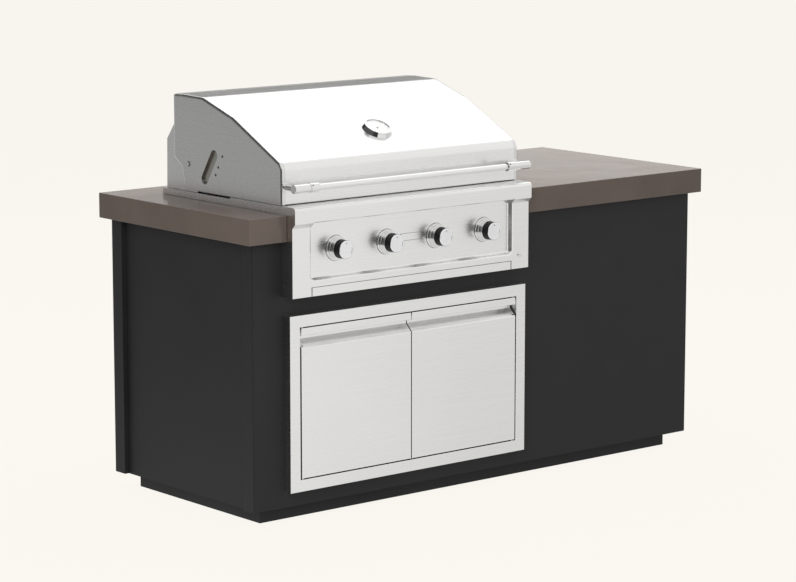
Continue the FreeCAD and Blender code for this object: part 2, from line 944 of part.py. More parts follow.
def firebox():
    """The welded tub's plates, each a piece of its own, with the strips that carry plates and grates."""
    y0 = depth(firebox_front)
    y1 = depth(firebox_rear)
    low = rise(-firebox_drop)
    high = rise(flange_rear_rise)
    deck = rise(ledge_rise) - steel - seat
    t = steel
    z = rise(-knob_drop)
    front = box(box_left, box_right, y0, y0 + t, low, deck)
    front = without(front, [rod(burner_radius + seat, (x, y0, z), (x, y0 + t, z)) for x in knob_places()])
    lip = box(box_left, box_right, depth(front_overhang) + skin, y0, deck - t, deck)
    rear = box(box_left, box_right, y1 - t, y1, low, high)
    side = box(box_left, box_left + t, y0 + t, y1 - t, low, high)
    middle = (y0 + y1) / 2
    drain = box(grill_middle - drain_width / 2, grill_middle + drain_width / 2,
                middle - drain_depth / 2, middle + drain_depth / 2, low, low + t)
    bottom = box(box_left + t, box_right - t, y0 + t, y1 - t, low, low + t).cut(drain)
    strips = [box(box_left + t, box_right - t, y, y + firebox_shelf, rise(-drop - t - seat), rise(-drop - seat))
              for y in (y0 + t, y1 - t - firebox_shelf)
              for drop in (plate_eave_drop + steel, grate_sink)]
    return Part.makeCompound([front, lip, rear, side, across_grill(side), bottom] + strips)


def cooking_grates():
    y0 = depth(firebox_front) + steel + seat
    y1 = depth(firebox_rear) - steel - seat
    left = box_left + steel + grate_gap
    wide = (box_right - steel - grate_gap - left) / grate_count
    low = rise(-grate_sink)
    high = low + grate_thick
    z = high - grate_bar_radius
    starts = (y0, y1 - grate_cross, (y0 + y1 - grate_cross) / 2)
    grates = []
    for i in range(grate_count):
        x0 = left + i * wide + grate_gap
        x1 = left + (i + 1) * wide - grate_gap
        first = x0 + grate_bar_radius
        pitch = (x1 - grate_bar_radius - first) / (grate_bars - 1)
        crossbars = [box(x0, x1, y, y + grate_cross, low, high) for y in starts]
        bars = [rod(grate_bar_radius, (first + k * pitch, y0, z), (first + k * pitch, y1, z))
                for k in range(grate_bars)]
        grates.append(joined(crossbars + bars))
    return Part.makeCompound(grates)


def base_flanges():
    left = flange_left
    right = flange_left + flange_width
    rear = depth(flange_rear)
    pieces = []
    for y0, y1, high in ((depth(front_overhang), depth(flange_step), flange_front_rise),
                         (depth(flange_step), rear, flange_rear_rise)):
        run = [(right, rise(high)), (left, rise(high)), (left, z_under), (right, z_under)]
        pieces.append(prism(folded(run, steel, flange_bend), "y", y0, y1))
    side = joined(pieces)
    high = rise(flange_rear_rise)
    run = [(rear, z_under), (rear, high), (depth(firebox_rear) + seat, high)]
    cross = prism(folded(run, steel, flange_bend), "x", box_left, box_right)
    return Part.makeCompound([side, across_grill(side), cross])


def housing_left():
    return grill_left + housing_setback


def rear_housing():
    """The housing behind the lid: its folded shell, the two ears that carry the lid, and the rack's shelf."""
    t = steel
    front = depth(firebox_rear) + seat
    low = rise(flange_rear_rise) + seat
    rear = depth(housing_rear)
    shoulder = (rear - housing_shoulder[0], rise(housing_shoulder[1]))
    crown = (depth(housing_crown[0]), rise(housing_crown[1]))
    brow = (front, rise(housing_front_rise))
    left = housing_left()
    right = 2 * grill_middle - left
    run = [(rear, low), shoulder, crown, brow, (front, low)]
    shell = prism(folded(run, t, skin_bend), "x", left + t, right - t)
    y = depth(pivot_depth)
    z = rise(pivot_rise)
    ear_top = z + ear_rise
    r, wide = ear_corners
    profile = [(y - ear_front, low), (rear, low), shoulder + (r,), crown + (r,), brow]
    profile += [(front - ear_step, ear_top), (y - ear_front, ear_top, wide)]
    ear = prism(profile, "x", left, left + t)
    ear = ear.cut(rod(pivot_radius + pivot_clear, (left, y, z), (left + t, y, z)))
    top = rise(rack_rise) - seat
    shelf = box(left + t, right - t, front - ear_step, front, top - t, top)
    return Part.makeCompound([shell, shelf, ear, across_grill(ear)])


def warming_rack():
    left = housing_left() + steel + seat
    right = 2 * grill_middle - left
    y0 = depth(rack_front)
    y1 = depth(firebox_rear) - seat
    z0 = rise(rack_rise)
    starts = (left, grill_middle - rack_bar / 2, right - rack_bar)
    bars = [box(x, x + rack_bar, y0, y1, z0, z0 + rack_bar) for x in starts]
    first = y0 + rack_rod_radius
    pitch = (y1 - rack_rod_radius - first) / (rack_rods - 1)
    z = z0 + rack_bar - rack_rod_radius
    rods = [rod(rack_rod_radius, (left, first + i * pitch, z), (right, first + i * pitch, z))
            for i in range(rack_rods)]
    return joined(bars + rods)


def tray_half():
    return stile_right() - grill_middle - 2 * tray_side - 2 * steel


def drip_tray():
    half = tray_half()
    front = depth(-panel_reach) + steel
    rear = depth(tray_rear)
    low = rise(-panel_bottom_drop) + tray_lift
    high = low + tray_height
    t = steel
    pan = box(grill_middle - half, grill_middle + half, front, rear, low, high)
    return pan.cut(box(grill_middle - half + t, grill_middle + half - t, front + t, rear - t, low + t, high))


def drip_tray_front():
    x0 = stile_left() + tray_end_gap
    x1 = stile_right() - tray_end_gap
    front = depth(-panel_reach)
    low = rise(-panel_bottom_drop)
    high = rise(-rail_bottom_drop) - tray_gap
    back = front + tray_front_thick
    t = steel
    return box(x0, x1, front, back, low, high).cut(box(x0 + t, x1 - t, front + t, back, low + t, high - t))


def tray_runners():
    outer = grill_middle - tray_half() - tray_side - steel
    low = rise(-panel_bottom_drop) + tray_lift - seat
    top = rise(-firebox_drop)
    run = [(outer, top), (outer, low - steel), (outer + runner_foot, low - steel)]
    runner = prism(folded(run, steel, flange_bend), "y", depth(firebox_front), depth(firebox_rear))
    return Part.makeCompound([runner, across_grill(runner)])


def igniter_button():
    x, z = button_place()
    back = stile_back()
    height = steel + button_stand
    cap = turned([(0, 0), (button_radius, 0), (button_radius, height, button_edge), (0, height)],
                 (x, back, z), (0, -1, 0))
    near = back + seat
    neck = rod(button_radius - button_edge, (x, back, z), (x, near, z))
    collar = rod(button_radius + button_collar, (x, near, z), (x, near + button_collar, z))
    return joined([cap, neck, collar])


def button_switch():
    x, z = button_place()
    back = stile_back()
    inner = button_radius + button_collar + seat
    end = back + 2 * button_travel + switch_depth
    shell = rod(inner + switch_wall, (x, back, z), (x, end, z))
    return shell.cut(rod(inner, (x, back, z), (x, end - switch_floor, z)))


def lid_run():
    """The lid's outline in depth and height, from its rear bottom edge over to its front one."""
    points = [(lid_rear, lid_back_rise), (lid_rear, lid_top_rise, lid_rear_bend), lid_crown]
    points += [(lid_top_depth, lid_top_rise, lid_top_bend), (lid_slope_depth, lid_slope_rise, lid_top_bend)]
    points += [(lid_brow_depth, lid_brow_rise, lid_brow_bend), (lid_front, lid_break_rise, lid_brow_bend)]
    points += [(lid_front, lid_bottom_rise)]
    return in_frame(points)


def in_frame(points):
    return [(depth(p[0]), rise(p[1])) + tuple(p[2:]) for p in points]


def inset_run(run, distance):
    """The same run, moved in by a distance, with its bends kept round its own centres."""
    moved = folded(run, distance, 0.0)[len(run):][::-1]
    kept = [point[2] if len(point) > 2 else 0.0 for point in run]
    return [(p[0], p[1]) if not r else (p[0], p[1], max(r - distance, skin_bend)) for p, r in zip(moved, kept)]


def spit_places():
    top = V(depth(spit_top_depth), rise(spit_top_rise), 0)
    foot = V(depth(spit_bottom_depth), rise(spit_bottom_rise), 0)
    way = foot - top
    way.normalize()
    radius = spit_width / 2
    return top + way * radius, foot - way * radius, way, radius


def spit_slot(radius, low, high):
    start, end, way, plain = spit_places()
    side = V(-way.y, way.x, 0) * radius
    ends = [rod(radius, (low, p.x, p.y), (high, p.x, p.y)) for p in (start, end)]
    corners = [start + side, end + side, end - side, start - side]
    return joined(ends + [prism([(c.x, c.y) for c in corners], "x", low, high)])


def lid_side_shell(x0):
    """The side's outer form, rounded where it meets the lid's skin."""
    run = lid_run()
    grown = [p[:2] + ((p[2] + steel,) if len(p) > 2 else ()) for p in run[1:]]
    shell = prism(grown + in_frame(lid_side_foot), "x", x0, x0 + lid_rim)
    return shell.makeFillet(lid_edge_round, [e for e in shell.Edges if on_lid_edge(e, x0)])


def on_lid_edge(edge, x):
    middle = edge.CenterOfMass
    foot = middle.z < rise(lid_break_rise) and middle.y > depth(lid_slope_depth)
    low = edge.BoundBox.ZMax < rise(lid_bottom_rise) + seat
    return edge.BoundBox.XMax < x + tiny and middle.y < depth(lid_rear) + tiny and not foot and not low


def lid_side_hollow(x0):
    """What is cut out of the side's form: everything inside its sheet, open to the middle and the rear."""
    run = lid_run()
    inner = folded(run, steel, 0.0)[len(run):][::-1]
    inner = [tuple(p[:2]) + tuple(r[2:]) for p, r in zip(inner, run)]
    far = depth(counter_depth)
    deep = rise(-counter_thick)
    start = x0 + steel
    outline_points = inner + [(inner[-1][0], deep), (far, deep), (far, rise(lid_back_rise))]
    hollow = prism(outline_points, "x", start, x0 + lid_rim)
    low = rise(lid_bottom_rise)
    edges = [e for e in hollow.Edges if e.BoundBox.XMax < start + tiny and e.BoundBox.ZMax > low
             and e.CenterOfMass.y < depth(lid_rear) and e.CenterOfMass.z > low
             and abs(e.CenterOfMass.z - rise(lid_back_rise)) > 1]
    return hollow.makeFillet(lid_edge_round - steel, edges)


def lid_left_side():
    x0 = grill_left
    side = lid_side_shell(x0).cut(lid_side_hollow(x0))
    side = joined([side, spit_slot(spit_width / 2 + steel, x0 + steel / 2, x0 + spit_collar)])
    holes = [spit_slot(spit_width / 2, x0, x0 + spit_collar)]
    holes += [rod(side_hole_radius, (x0, y, z), (x0 + steel, y, z)) for y, z in in_frame(side_holes)]
    pivot = (depth(pivot_depth), rise(pivot_rise))
    holes.append(rod(pivot_radius + pivot_clear, (x0,) + pivot, (x0 + steel,) + pivot))
    return without(side, holes)


def handle_places():
    left = grill_left + handle_inset
    return left, 2 * grill_middle - left, depth(-handle_reach), rise(handle_rise)


def slope_place():
    share = (gauge_depth - lid_brow_depth) / (lid_slope_depth - lid_brow_depth)
    height = lid_brow_rise + share * (lid_slope_rise - lid_brow_rise)
    tilt = math.atan2(lid_slope_rise - lid_brow_rise, lid_slope_depth - lid_brow_depth)
    place = (grill_middle - gauge_offset, depth(gauge_depth), rise(height))
    return place, (0, -math.sin(tilt), math.cos(tilt))


def along_gauge(height):
    place, way = slope_place()
    return tuple(p + w * height for p, w in zip(place, way))


def lid_skin():
    x0 = grill_left + lid_rim + lid_seam
    x1 = 2 * grill_middle - x0
    run = lid_run() + [(depth(lid_front) + steel + liner_gap - seat, rise(lid_bottom_rise))]
    shell = prism(folded(run, steel, steel), "x", x0, x1)
    return shell.cut(rod(gauge_probe + seat, along_gauge(-liner_gap), along_gauge(liner_gap)))


def lid_liner():
    x0 = grill_left + liner_inset
    x1 = 2 * grill_middle - x0
    run = inset_run(lid_run(), steel + liner_gap)
    shell = prism(folded(run, steel, skin_bend), "x", x0, x1)
    return shell.cut(rod(gauge_probe + seat, along_gauge(-gauge_probe_length), along_gauge(0)))


def lid_pivot_pins():
    y = depth(pivot_depth)
    z = rise(pivot_rise)
    start = grill_left - seat
    crown = start - pivot_head
    inner = housing_left() + steel
    long, wide, deep = pivot_slot
    head = turned([(0, 0), (pivot_head_radius, 0), (pivot_head_radius, pivot_head, 1), (0, pivot_head)],
                  (start, y, z), (-1, 0, 0))
    head = head.cut(box(crown, crown + deep, y - long / 2, y + long / 2, z - wide / 2, z + wide / 2))
    shaft = rod(pivot_radius, (start, y, z), (inner + pivot_nut, y, z))
    nut = rod(pivot_head_radius, (inner, y, z), (inner + pivot_nut, y, z))
    pin = joined([head, shaft, nut])
    return Part.makeCompound([pin, across_grill(pin)])


def handle_tube():
    left, right, y, z = handle_places()
    return rod(handle_tube_radius, (left + handle_tube_inset, y, z), (right - handle_tube_inset, y, z))


def handle_sleeves():
    """The handle's two ends, each turned in one piece: a closed sleeve with a collar and a set screw's hole."""
    left, right, y, z = handle_places()
    end = collar_start + collar_length
    profile = [(0, 0), (sleeve_radius, 0, sleeve_edge), (sleeve_radius, collar_start)]
    profile += [(collar_radius, collar_start, collar_edge), (collar_radius, end, collar_edge), (0, end)]
    sleeve = turned(profile, (left, y, z), (1, 0, 0))
    bore = handle_tube_radius + handle_fit
    sleeve = sleeve.cut(rod(bore, (left + handle_tube_inset - seat, y, z), (left + end, y, z)))
    tilt = math.radians(set_screw_tilt)
    ends = []
    for piece, start in ((sleeve, left + collar_start), (across_grill(sleeve), right - end)):
        x = start + set_screw_start
        top = (x, y - math.cos(tilt) * collar_radius, z + math.sin(tilt) * collar_radius)
        ends.append(piece.cut(rod(set_screw_radius, (x, y, z), top)))
    return Part.makeCompound(ends)


def handle_brackets():
    """The posts that stand the handle off the lid, each with a flange against the lid's front."""
    left, right, y, z = handle_places()
    x = left + standoff_start
    foot = depth(lid_front)
    post = rod(standoff_radius, (x, y, z), (x, foot, z)).cut(rod(sleeve_radius, (left, y, z), (right, y, z)))
    flange = turned([(0, 0), (standoff_flange_radius, 0), (standoff_flange_radius, standoff_flange, 1),
                     (0, standoff_flange)], (x, foot, z), (0, -1, 0))
    bracket = joined([post, flange])
    return Part.makeCompound([bracket, across_grill(bracket)])


def gauge_case():
    place, way = slope_place()
    h = gauge_height
    inner = gauge_rim_radius - gauge_wall
    ledge = h - gauge_lens_in
    profile = [(0, 0), (gauge_base_radius, 0), (gauge_rim_radius, h, gauge_edge), (inner, h, gauge_edge / 2)]
    profile += [(inner, ledge), (inner - 1, ledge), (inner - 1, gauge_floor), (0, gauge_floor)]
    case = turned(profile, place, way)
    probe = rod(gauge_probe, along_gauge(-gauge_probe_length), along_gauge(0))
    hole = rod(needle_pin + gauge_play, along_gauge(gauge_floor - needle_pin_in), along_gauge(gauge_floor))
    return joined([case, probe]).cut(hole)


def gauge_dial():
    top = gauge_floor + gauge_dial_thick
    disc = rod(gauge_rim_radius - gauge_wall - 1 - seat, along_gauge(gauge_floor), along_gauge(top))
    return disc.cut(rod(needle_pin + gauge_play, along_gauge(gauge_floor), along_gauge(top)))


def gauge_lens():
    high = gauge_height - gauge_lens_in
    return rod(gauge_rim_radius - gauge_wall - seat, along_gauge(high), along_gauge(high + gauge_lens_thick))


def gauge_needle():
    way = slope_place()[1]
    base = gauge_floor + gauge_dial_thick + seat
    shaft = rod(needle_pin, along_gauge(gauge_floor - needle_pin_in + seat), along_gauge(base))
    hub = rod(needle_hub, along_gauge(base), along_gauge(base + 2 * needle_thick))
    across = V(1, 0, 0)
    up = V(*way).cross(across)
    along = (across * -1 - up) * math.sqrt(0.5)
    wide = V(*way).cross(along)
    root = V(*along_gauge(base + needle_thick / 2))
    tip = root + along * (gauge_rim_radius - gauge_wall - needle_short)
    tail = root - along * needle_tail
    broad, narrow = needle_half_widths
    corners = [tail + wide * broad, tail - wide * broad, tip - wide * narrow, tip + wide * narrow]
    blade = Part.Face(Part.makePolygon(corners + corners[:1])).extrude(V(*way) * needle_thick)
    return joined([shaft, hub, blade])


def build():
    nodes = {
        "countertop": countertop(),
        "left_side_panel": left_side_panel(),
        "right_side_panel": mirrored(left_side_panel()),
        "front_panel": front_panel(),
        "rear_panel": rear_panel(),
        "rear_posts": rear_posts(),
        "plinth": plinth(),
        "cabinet_floor": cabinet_floor(),
        "partition": partition(),
        "frame_posts": frame_posts(),
        "top_rails": top_rails(),
        "grill_supports": grill_supports(),
        "leveling_feet": leveling_feet(),
        "panel_screws": panel_screws(),
        "door_frame": door_frame(),
        "left_door_skin": door_skin(0),
        "right_door_skin": door_skin(1),
        "left_door_liner": door_liner(),
        "right_door_liner": across_doors(door_liner()),
        "door_hinge_pins": door_hinge_pins(),
        "door_catches": door_catches(),
        "firebox": firebox(),
        "base_flanges": base_flanges(),
        "rear_housing": rear_housing(),
        "front_ledge": front_ledge(),
        "control_panel": control_panel(),
        "name_plate": name_plate(),
        "knob_bezels": knob_bezels(),
        "valve_bodies": valve_bodies(),
        "gas_manifold": gas_manifold(),
        "burners": burners(),
        "heat_plates": heat_plates(),
        "cooking_grates": cooking_grates(),
        "warming_rack": warming_rack(),
        "tray_runners": tray_runners(),
        "drip_tray": drip_tray(),
        "drip_tray_front": drip_tray_front(),
        "igniter_button": igniter_button(),
        "button_switch": button_switch(),
        "lid_skin": lid_skin(),
        "lid_left_side": lid_left_side(),
        "lid_right_side": across_grill(lid_left_side()),
        "lid_liner": lid_liner(),
        "lid_pivot_pins": lid_pivot_pins(),
        "handle_tube": handle_tube(),
        "handle_sleeves": handle_sleeves(),
        "handle_brackets": handle_brackets(),
        "gauge_case": gauge_case(),
        "gauge_dial": gauge_dial(),
        "gauge_lens": gauge_lens(),
        "gauge_needle": gauge_needle(),
    }
    for i, x in enumerate(knob_places()):
        nodes["knob_%d" % (i + 1)] = knob(x)
        nodes["valve_stem_%d" % (i + 1)] = valve_stem(x)
    return nodes


os.makedirs("parts", exist_ok=True)
for name, shape in build().items():
    shape.exportStep("parts/" + name + ".step")
    print(name, len(shape.Solids), shape.isValid(), round(shape.Volume / 1000, 1))
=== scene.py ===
# %% [markdown]
# An outdoor kitchen island: a thick concrete counter on a dark powder-coated body,
# with a stainless gas grill let into its left half and a pair of doors below it.
# Every rigid piece comes from the construction model. This lesson gives each one its
# finish, adds the small painted and engraved details, and lights the result.

# %% Load the construction model
import math

import bmesh
import bpy
from mathutils import Matrix, Vector


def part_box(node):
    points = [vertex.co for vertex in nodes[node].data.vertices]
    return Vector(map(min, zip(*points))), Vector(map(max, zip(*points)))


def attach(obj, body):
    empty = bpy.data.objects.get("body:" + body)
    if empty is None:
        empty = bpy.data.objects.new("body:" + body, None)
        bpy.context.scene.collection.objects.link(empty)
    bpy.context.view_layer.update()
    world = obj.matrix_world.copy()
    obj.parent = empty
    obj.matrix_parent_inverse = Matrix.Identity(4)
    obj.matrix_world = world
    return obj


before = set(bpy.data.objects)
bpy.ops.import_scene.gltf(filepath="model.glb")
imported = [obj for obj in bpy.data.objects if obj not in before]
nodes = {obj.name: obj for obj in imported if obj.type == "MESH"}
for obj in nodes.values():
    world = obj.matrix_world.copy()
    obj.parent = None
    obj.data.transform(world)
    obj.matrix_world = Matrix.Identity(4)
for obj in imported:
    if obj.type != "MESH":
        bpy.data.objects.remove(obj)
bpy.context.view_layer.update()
print("pieces from the construction model:", len(nodes))

# %% Millimetres and places
MM = 0.001


def low_high(node):
    low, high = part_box(node)
    return Vector(low), Vector(high)


print("counter top above the floor, mm:", round(low_high("countertop")[1].z / MM, 1))

# %% [markdown]
# The camera stands at the front left, a little above the lid, and looks about ten
# degrees down. A long lens keeps the verticals nearly parallel, as in a catalogue
# photograph. Its place and lens were found by fitting straight edges of the island.

# %% Camera
camera_place = Vector((-5.8470, -6.9472, 2.1062))
camera_turn = 39.73
camera_down = 9.63
camera_lens = 132.2

camera_data = bpy.data.cameras.new("camera")
camera_data.sensor_width = 36.0
camera_data.lens = camera_lens
camera = bpy.data.objects.new("camera", camera_data)
camera.location = camera_place
camera.rotation_euler = (math.radians(90 - camera_down), 0, math.radians(-camera_turn))
bpy.context.scene.collection.objects.link(camera)
bpy.context.scene.camera = camera
print("camera to the middle of the island's foot, m:", round(camera_place.length, 2))

# %% [markdown]
# A material is a small graph of nodes. One helper adds a node, sets its inputs and
# links the ones that are given as nodes or sockets, so each material reads as a recipe.
# Colours are written as the hex values that a screen shows, and turned to linear light.

# %% Helpers for nodes and colours


def linear(code):
    """A hex colour of the screen as linear light, with an alpha of one."""
    values = [int(code[i:i + 2], 16) / 255 for i in (1, 3, 5)]
    return tuple(v / 12.92 if v <= 0.04045 else ((v + 0.055) / 1.055) ** 2.4 for v in values) + (1.0,)


def add(tree, kind, inputs=None, **settings):
    """Adds one node. An input that is given as a node is linked to its first output."""
    node = tree.nodes.new("ShaderNode" + kind)
    for key, value in settings.items():
        setattr(node, key, value)
    for key, value in (inputs or {}).items():
        if isinstance(value, bpy.types.Node):
            value = value.outputs[0]
        if isinstance(value, bpy.types.NodeSocket):
            tree.links.new(value, node.inputs[key])
        else:
            node.inputs[key].default_value = value
    return node


def material(name):
    made = bpy.data.materials.new(name)
    made.use_nodes = True
    made.node_tree.nodes.clear()
    return made, made.node_tree


print("mid grey of the screen as linear light:", round(linear("#808080")[0], 3))

# %% [markdown]
# No real surface is the same all over. Each finish below has a noise whose blobs have a
# real size, which moves its colour and its roughness together by a little: where a coat
# is thinner or a sheet more worn, both change. Noise keeps near its middle, so it is
# spread until it fills nought to one. It is read in the object's own coordinates.

# %% Helpers for patterns
noise_low = 0.3
noise_high = 0.7


def pattern(tree, size_mm, detail=2.0, stretch=(1, 1, 1), rough=0.5):
    """Noise with blobs of a real size: the noise itself, and the same one spread."""
    place = add(tree, "Mapping", {"Vector": add(tree, "TexCoord").outputs["Object"], "Scale": stretch})
    noise = add(tree, "TexNoise", {"Vector": place, "Scale": 1 / (size_mm * MM), "Detail": detail,
                                   "Roughness": rough})
    spread = add(tree, "MapRange", {"Value": noise, "From Min": noise_low, "From Max": noise_high})
    return noise, spread


def varied(tree, spread, colours, roughness, inputs, shade=None):
    """A shader between two colours and two roughnesses, dimmed by a shade where one is given."""
    colour = add(tree, "Mix", {0: spread, 6: linear(colours[0]), 7: linear(colours[1])},
                 data_type="RGBA").outputs[2]
    if shade is not None:
        colour = add(tree, "VectorMath", {0: colour, "Scale": shade}, operation="SCALE")
    rough = add(tree, "MapRange", {"Value": spread, "To Min": roughness[0], "To Max": roughness[1]})
    return add(tree, "BsdfPrincipled", {"Base Color": colour, "Roughness": rough, **inputs})


print("noise spread from", noise_low, "to", noise_high)

# %% [markdown]
# Brushed stainless steel is a metal whose polish has been scratched by a belt, all in
# one direction. The scratches are a tenth of a millimetre apart, far too fine to show
# from across a patio, so the streaks here are drawn a millimetre wide and three hundred
# long: that is the scale at which the belt's uneven pressure shows. The same recipe
# serves for grain that runs along any axis. The steel itself is a neutral pale grey:
# most of its tone comes from what it mirrors, and very wide clouds dim it by a little.

# %% Brushed stainless steel
streak_width_mm = 1.1
streak_length_mm = 300.0
streak_depth_mm = 0.004
cloud_mm = 312.5
cloud_dims = 0.02


def brushed_steel(name, along, colours, roughness):
    made, tree = material(name)
    stretch = [1.0, 1.0, 1.0]
    stretch[along] = streak_width_mm / streak_length_mm
    streaks, spread = pattern(tree, streak_width_mm, detail=3.0, stretch=stretch, rough=0.6)
    cloud = pattern(tree, cloud_mm)[1]
    shade = add(tree, "MapRange", {"Value": cloud, "To Min": 1.0 - cloud_dims, "To Max": 1.0})
    relief = add(tree, "Bump", {"Height": streaks, "Distance": streak_depth_mm * MM, "Strength": 0.3})
    shader = varied(tree, spread, colours, roughness, {"Metallic": 1.0, "Normal": relief}, shade)
    add(tree, "OutputMaterial", {"Surface": shader})
    return made


steel_front = brushed_steel("brushed_stainless_across", 0, ("#ebebeb", "#f1f1f1"), (0.25, 0.32))
# The ends' copy is a little darker than the fronts': painted shade.
steel_side_painted_shade = brushed_steel("brushed_stainless_front_to_back_painted_shade", 1, ("#e0e0e0", "#e6e6e6"), (0.24, 0.30))
print("brushed steels:", steel_front.name, steel_side_painted_shade.name)

# %% [markdown]
# The handle's sleeves, the pins and the rods inside are polished: the same steel with
# finer grit, so its roughness is much lower, with faint smears where hands and cloths
# have been. The bezels and the thermometer's case are chromed, which mirrors sharpest.

# %% Polished steel and chrome
smear_mm = 35.7
smear_colour = "#e6e6e6"


def polished_metal(name, colour, roughness):
    made, tree = material(name)
    smear = pattern(tree, smear_mm, detail=4.0, rough=0.55)[1]
    shader = varied(tree, smear, (colour, smear_colour), roughness, {"Metallic": 1.0})
    add(tree, "OutputMaterial", {"Surface": shader})
    return made


steel_polished = polished_metal("polished_stainless", "#e3e3e3", (0.09, 0.16))
chrome = polished_metal("chrome_plate", "#e1e1e2", (0.03, 0.06))
print("polished metals:", steel_polished.name, chrome.name)

# %% [markdown]
# The counter is glass-fibre concrete in a warm brown grey. It is cast face down in a
# smooth mould, then sealed to a satin sheen: the colour drifts slowly over a hand's
# width, fine sand shows as speckle, and a few pinholes are left by air bubbles. A
# Voronoi pattern scatters the pinholes: near each of its points there is a small pit.

# %% Cast concrete
drift_mm = 143.0
sand_mm = 1.6
sand_low = 0.9
sand_high = 1.1
pinhole_apart_mm = 22.0
pinhole_core = 0.02
pinhole_rim = 0.06
relief_mm = 0.03


def cast_concrete():
    made, tree = material("cast_concrete_sealed")
    drift = pattern(tree, drift_mm, detail=3.0)[1]
    sand, spread = pattern(tree, sand_mm)
    shade = add(tree, "MapRange", {"Value": spread, "To Min": sand_low, "To Max": sand_high})
    holes = add(tree, "TexVoronoi", {"Vector": add(tree, "TexCoord").outputs["Object"],
                                     "Scale": 1 / (pinhole_apart_mm * MM)})
    pit = add(tree, "MapRange", {"Value": holes.outputs["Distance"], "From Min": pinhole_core,
                                 "From Max": pinhole_rim})
    height = add(tree, "Math", {0: sand, 1: pit}, operation="ADD")
    relief = add(tree, "Bump", {"Height": height, "Distance": relief_mm * MM, "Strength": 0.2})
    shader = varied(tree, drift, ("#655952", "#6f625a"), (0.21, 0.27), {"IOR": 1.42, "Normal": relief}, shade)
    add(tree, "OutputMaterial", {"Surface": shader})
    return made


concrete = cast_concrete()
print("counter:", concrete.name)

# %% [markdown]
# The body is folded steel with a black powder coat. The powder melts into a fine
# orange-peel skin about a millimetre across, which breaks up the highlights. The tube
# frame inside is only primed, in grey.

# %% Powder coat
peel_mm = 1.3
peel_deep_mm = 0.03
dust_mm = 200.0


def powder_coat(name, colours, roughness):
    made, tree = material(name)
    peel = pattern(tree, peel_mm)[0]
    dust = pattern(tree, dust_mm, detail=3.0)[1]
    relief = add(tree, "Bump", {"Height": peel, "Distance": peel_deep_mm * MM, "Strength": 0.35})
    shader = varied(tree, dust, colours, roughness, {"Specular IOR Level": 0.25, "Normal": relief})
    add(tree, "OutputMaterial", {"Surface": shader})
    return made


black_coat = powder_coat("powder_coated_steel", ("#242425", "#2a2a2b"), (0.47, 0.54))
grey_coat = powder_coat("primed_frame_steel", ("#47484a", "#505153"), (0.52, 0.59))
print("coats:", black_coat.name, grey_coat.name)

# %% [markdown]
# The small pieces share one recipe, with a speck the size of a fingertip. Turned brass
# in the valves is a warm, softly bright metal. Moulded plastic at the catches is a satin
# black, and the gasket rubber a duller, greyer one, dark as painted shade at the bezels.
# The dial is glossy enamel, with ticks printed on it, and its needle and the small marks
# are matt black paint; the same black fills the set screws' sockets as painted shade. The
# cover plate in the lid is steel in a darker, warmer grey than the lid's.

# %% Small finishes
speck_mm = 16.7
rough_varies = 0.1


def small_finish(name, colours, rough, metallic=0.0):
    made, tree = material(name)
    speck = pattern(tree, speck_mm, detail=3.0)[1]
    roughness = (rough * (1 - rough_varies), rough * (1 + rough_varies))
    shader = varied(tree, speck, colours, roughness, {"Metallic": metallic})
    add(tree, "OutputMaterial", {"Surface": shader})
    return made


brass = small_finish("turned_brass", ("#b08d4c", "#c09c58"), 0.3, 1.0)
black_plastic = small_finish("moulded_abs_black", ("#1a1a1b", "#202021"), 0.5)
gasket_rubber_and_painted_shade = small_finish("gasket_rubber_and_painted_shade", ("#3a3a3b", "#424243"), 0.6)
dial_enamel = small_finish("enamelled_dial", ("#eeeeec", "#f4f4f2"), 0.35)
tick_ink = small_finish("screen_print_pale_grey", ("#b6b8ba", "#bec0c2"), 0.5)
black_paint_and_shade = small_finish("matt_black_paint_and_painted_shade", ("#151515", "#1b1b1b"), 0.6)
darker_warm_steel = small_finish("steel_darker_and_warmer", ("#b3afa8", "#bdb9b2"), 0.3, 1.0)
print("materials so far:", len(bpy.data.materials))

# %% [markdown]
# The thermometer's lens is a flat disc of clear glass. It has no pattern: clean glass
# shows only its gloss, and the dial through it.

# %% Lens glass


def clear_glass():
    made, tree = material("clear_lens_glass")
    shader = add(tree, "BsdfPrincipled", {"Base Color": (1, 1, 1, 1), "Roughness": 0.02, "IOR": 1.45,
                                          "Transmission Weight": 1.0})
    add(tree, "OutputMaterial", {"Surface": shader})
    return made


lens_glass = clear_glass()
print("lens:", lens_glass.name)

# %% [markdown]
# A knob is turned from bar, and only its face is left bright. Its round side is near
# black: a painted dark reflection, standing in for the dark that the side mirrors. Both
# finishes are one material: the depth behind the face, in the knob's own coordinates,
# decides which of the two shows.

# %% Knobs with a painted dark side
knob_face = low_high("knob_1")[0].y
bright_depth_mm = 1.6
turning_mm = 35.7


def knob_with_painted_dark_side():
    made, tree = material("turned_steel_with_painted_dark_reflection_side")
    depth = add(tree, "SeparateXYZ", {0: add(tree, "TexCoord").outputs["Object"]}).outputs["Y"]
    behind = add(tree, "Math", {0: depth, 1: knob_face + bright_depth_mm * MM}, operation="GREATER_THAN")
    turned = pattern(tree, turning_mm, detail=4.0)[1]
    bright = varied(tree, turned, ("#ebecee", "#f0f1f3"), (0.22, 0.3), {"Metallic": 1.0})
    # The near-black side is a painted dark reflection.
    painted_dark_reflection = varied(tree, turned, ("#141415", "#1a1a1b"), (0.4, 0.5), {"Specular IOR Level": 0.2})
    shader = add(tree, "MixShader", {0: behind, 1: bright, 2: painted_dark_reflection})
    add(tree, "OutputMaterial", {"Surface": shader})
    return made


knob_face_and_painted_dark_side = knob_with_painted_dark_side()
print("knobs:", knob_face_and_painted_dark_side.name)
